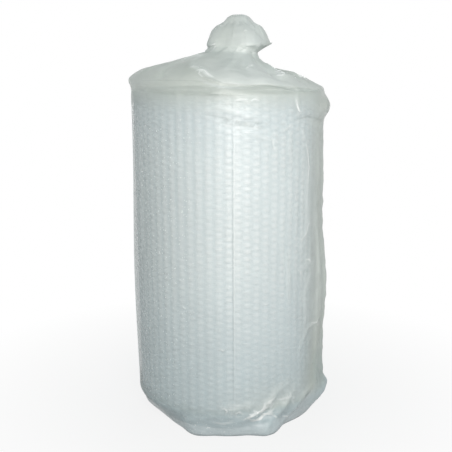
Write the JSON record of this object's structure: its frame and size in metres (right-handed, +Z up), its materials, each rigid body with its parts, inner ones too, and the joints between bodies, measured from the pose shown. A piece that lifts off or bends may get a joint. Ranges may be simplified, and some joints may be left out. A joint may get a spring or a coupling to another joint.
{
  "type": "bubble wrap roll",
  "caption": "Wide roll of clear bubble wrap standing on end in a poly bag with a gathered, knotted top; sheet for cushioning packed goods.",
  "frame": {"origin": "on the floor, on the roll's axis, at the underside of the bag", "axes": "+Z up along the roll's axis, -Y to the front of the picture, +X to its right"},
  "size_m": [0.7302, 0.699, 1.466],
  "materials": {
    "bubble_film": "clear low-density polyethylene in many bubbled turns, which together look pale blue-grey and silky",
    "bag_film": "thin clear polyethylene film, wrinkled and glossy, milky grey-green where it lies in several layers"
  },
  "bodies": {
    "root": {"bubble_wrap_roll": "bubble_film", "poly_bag": "bag_film"}
  },
  "joints": []
}
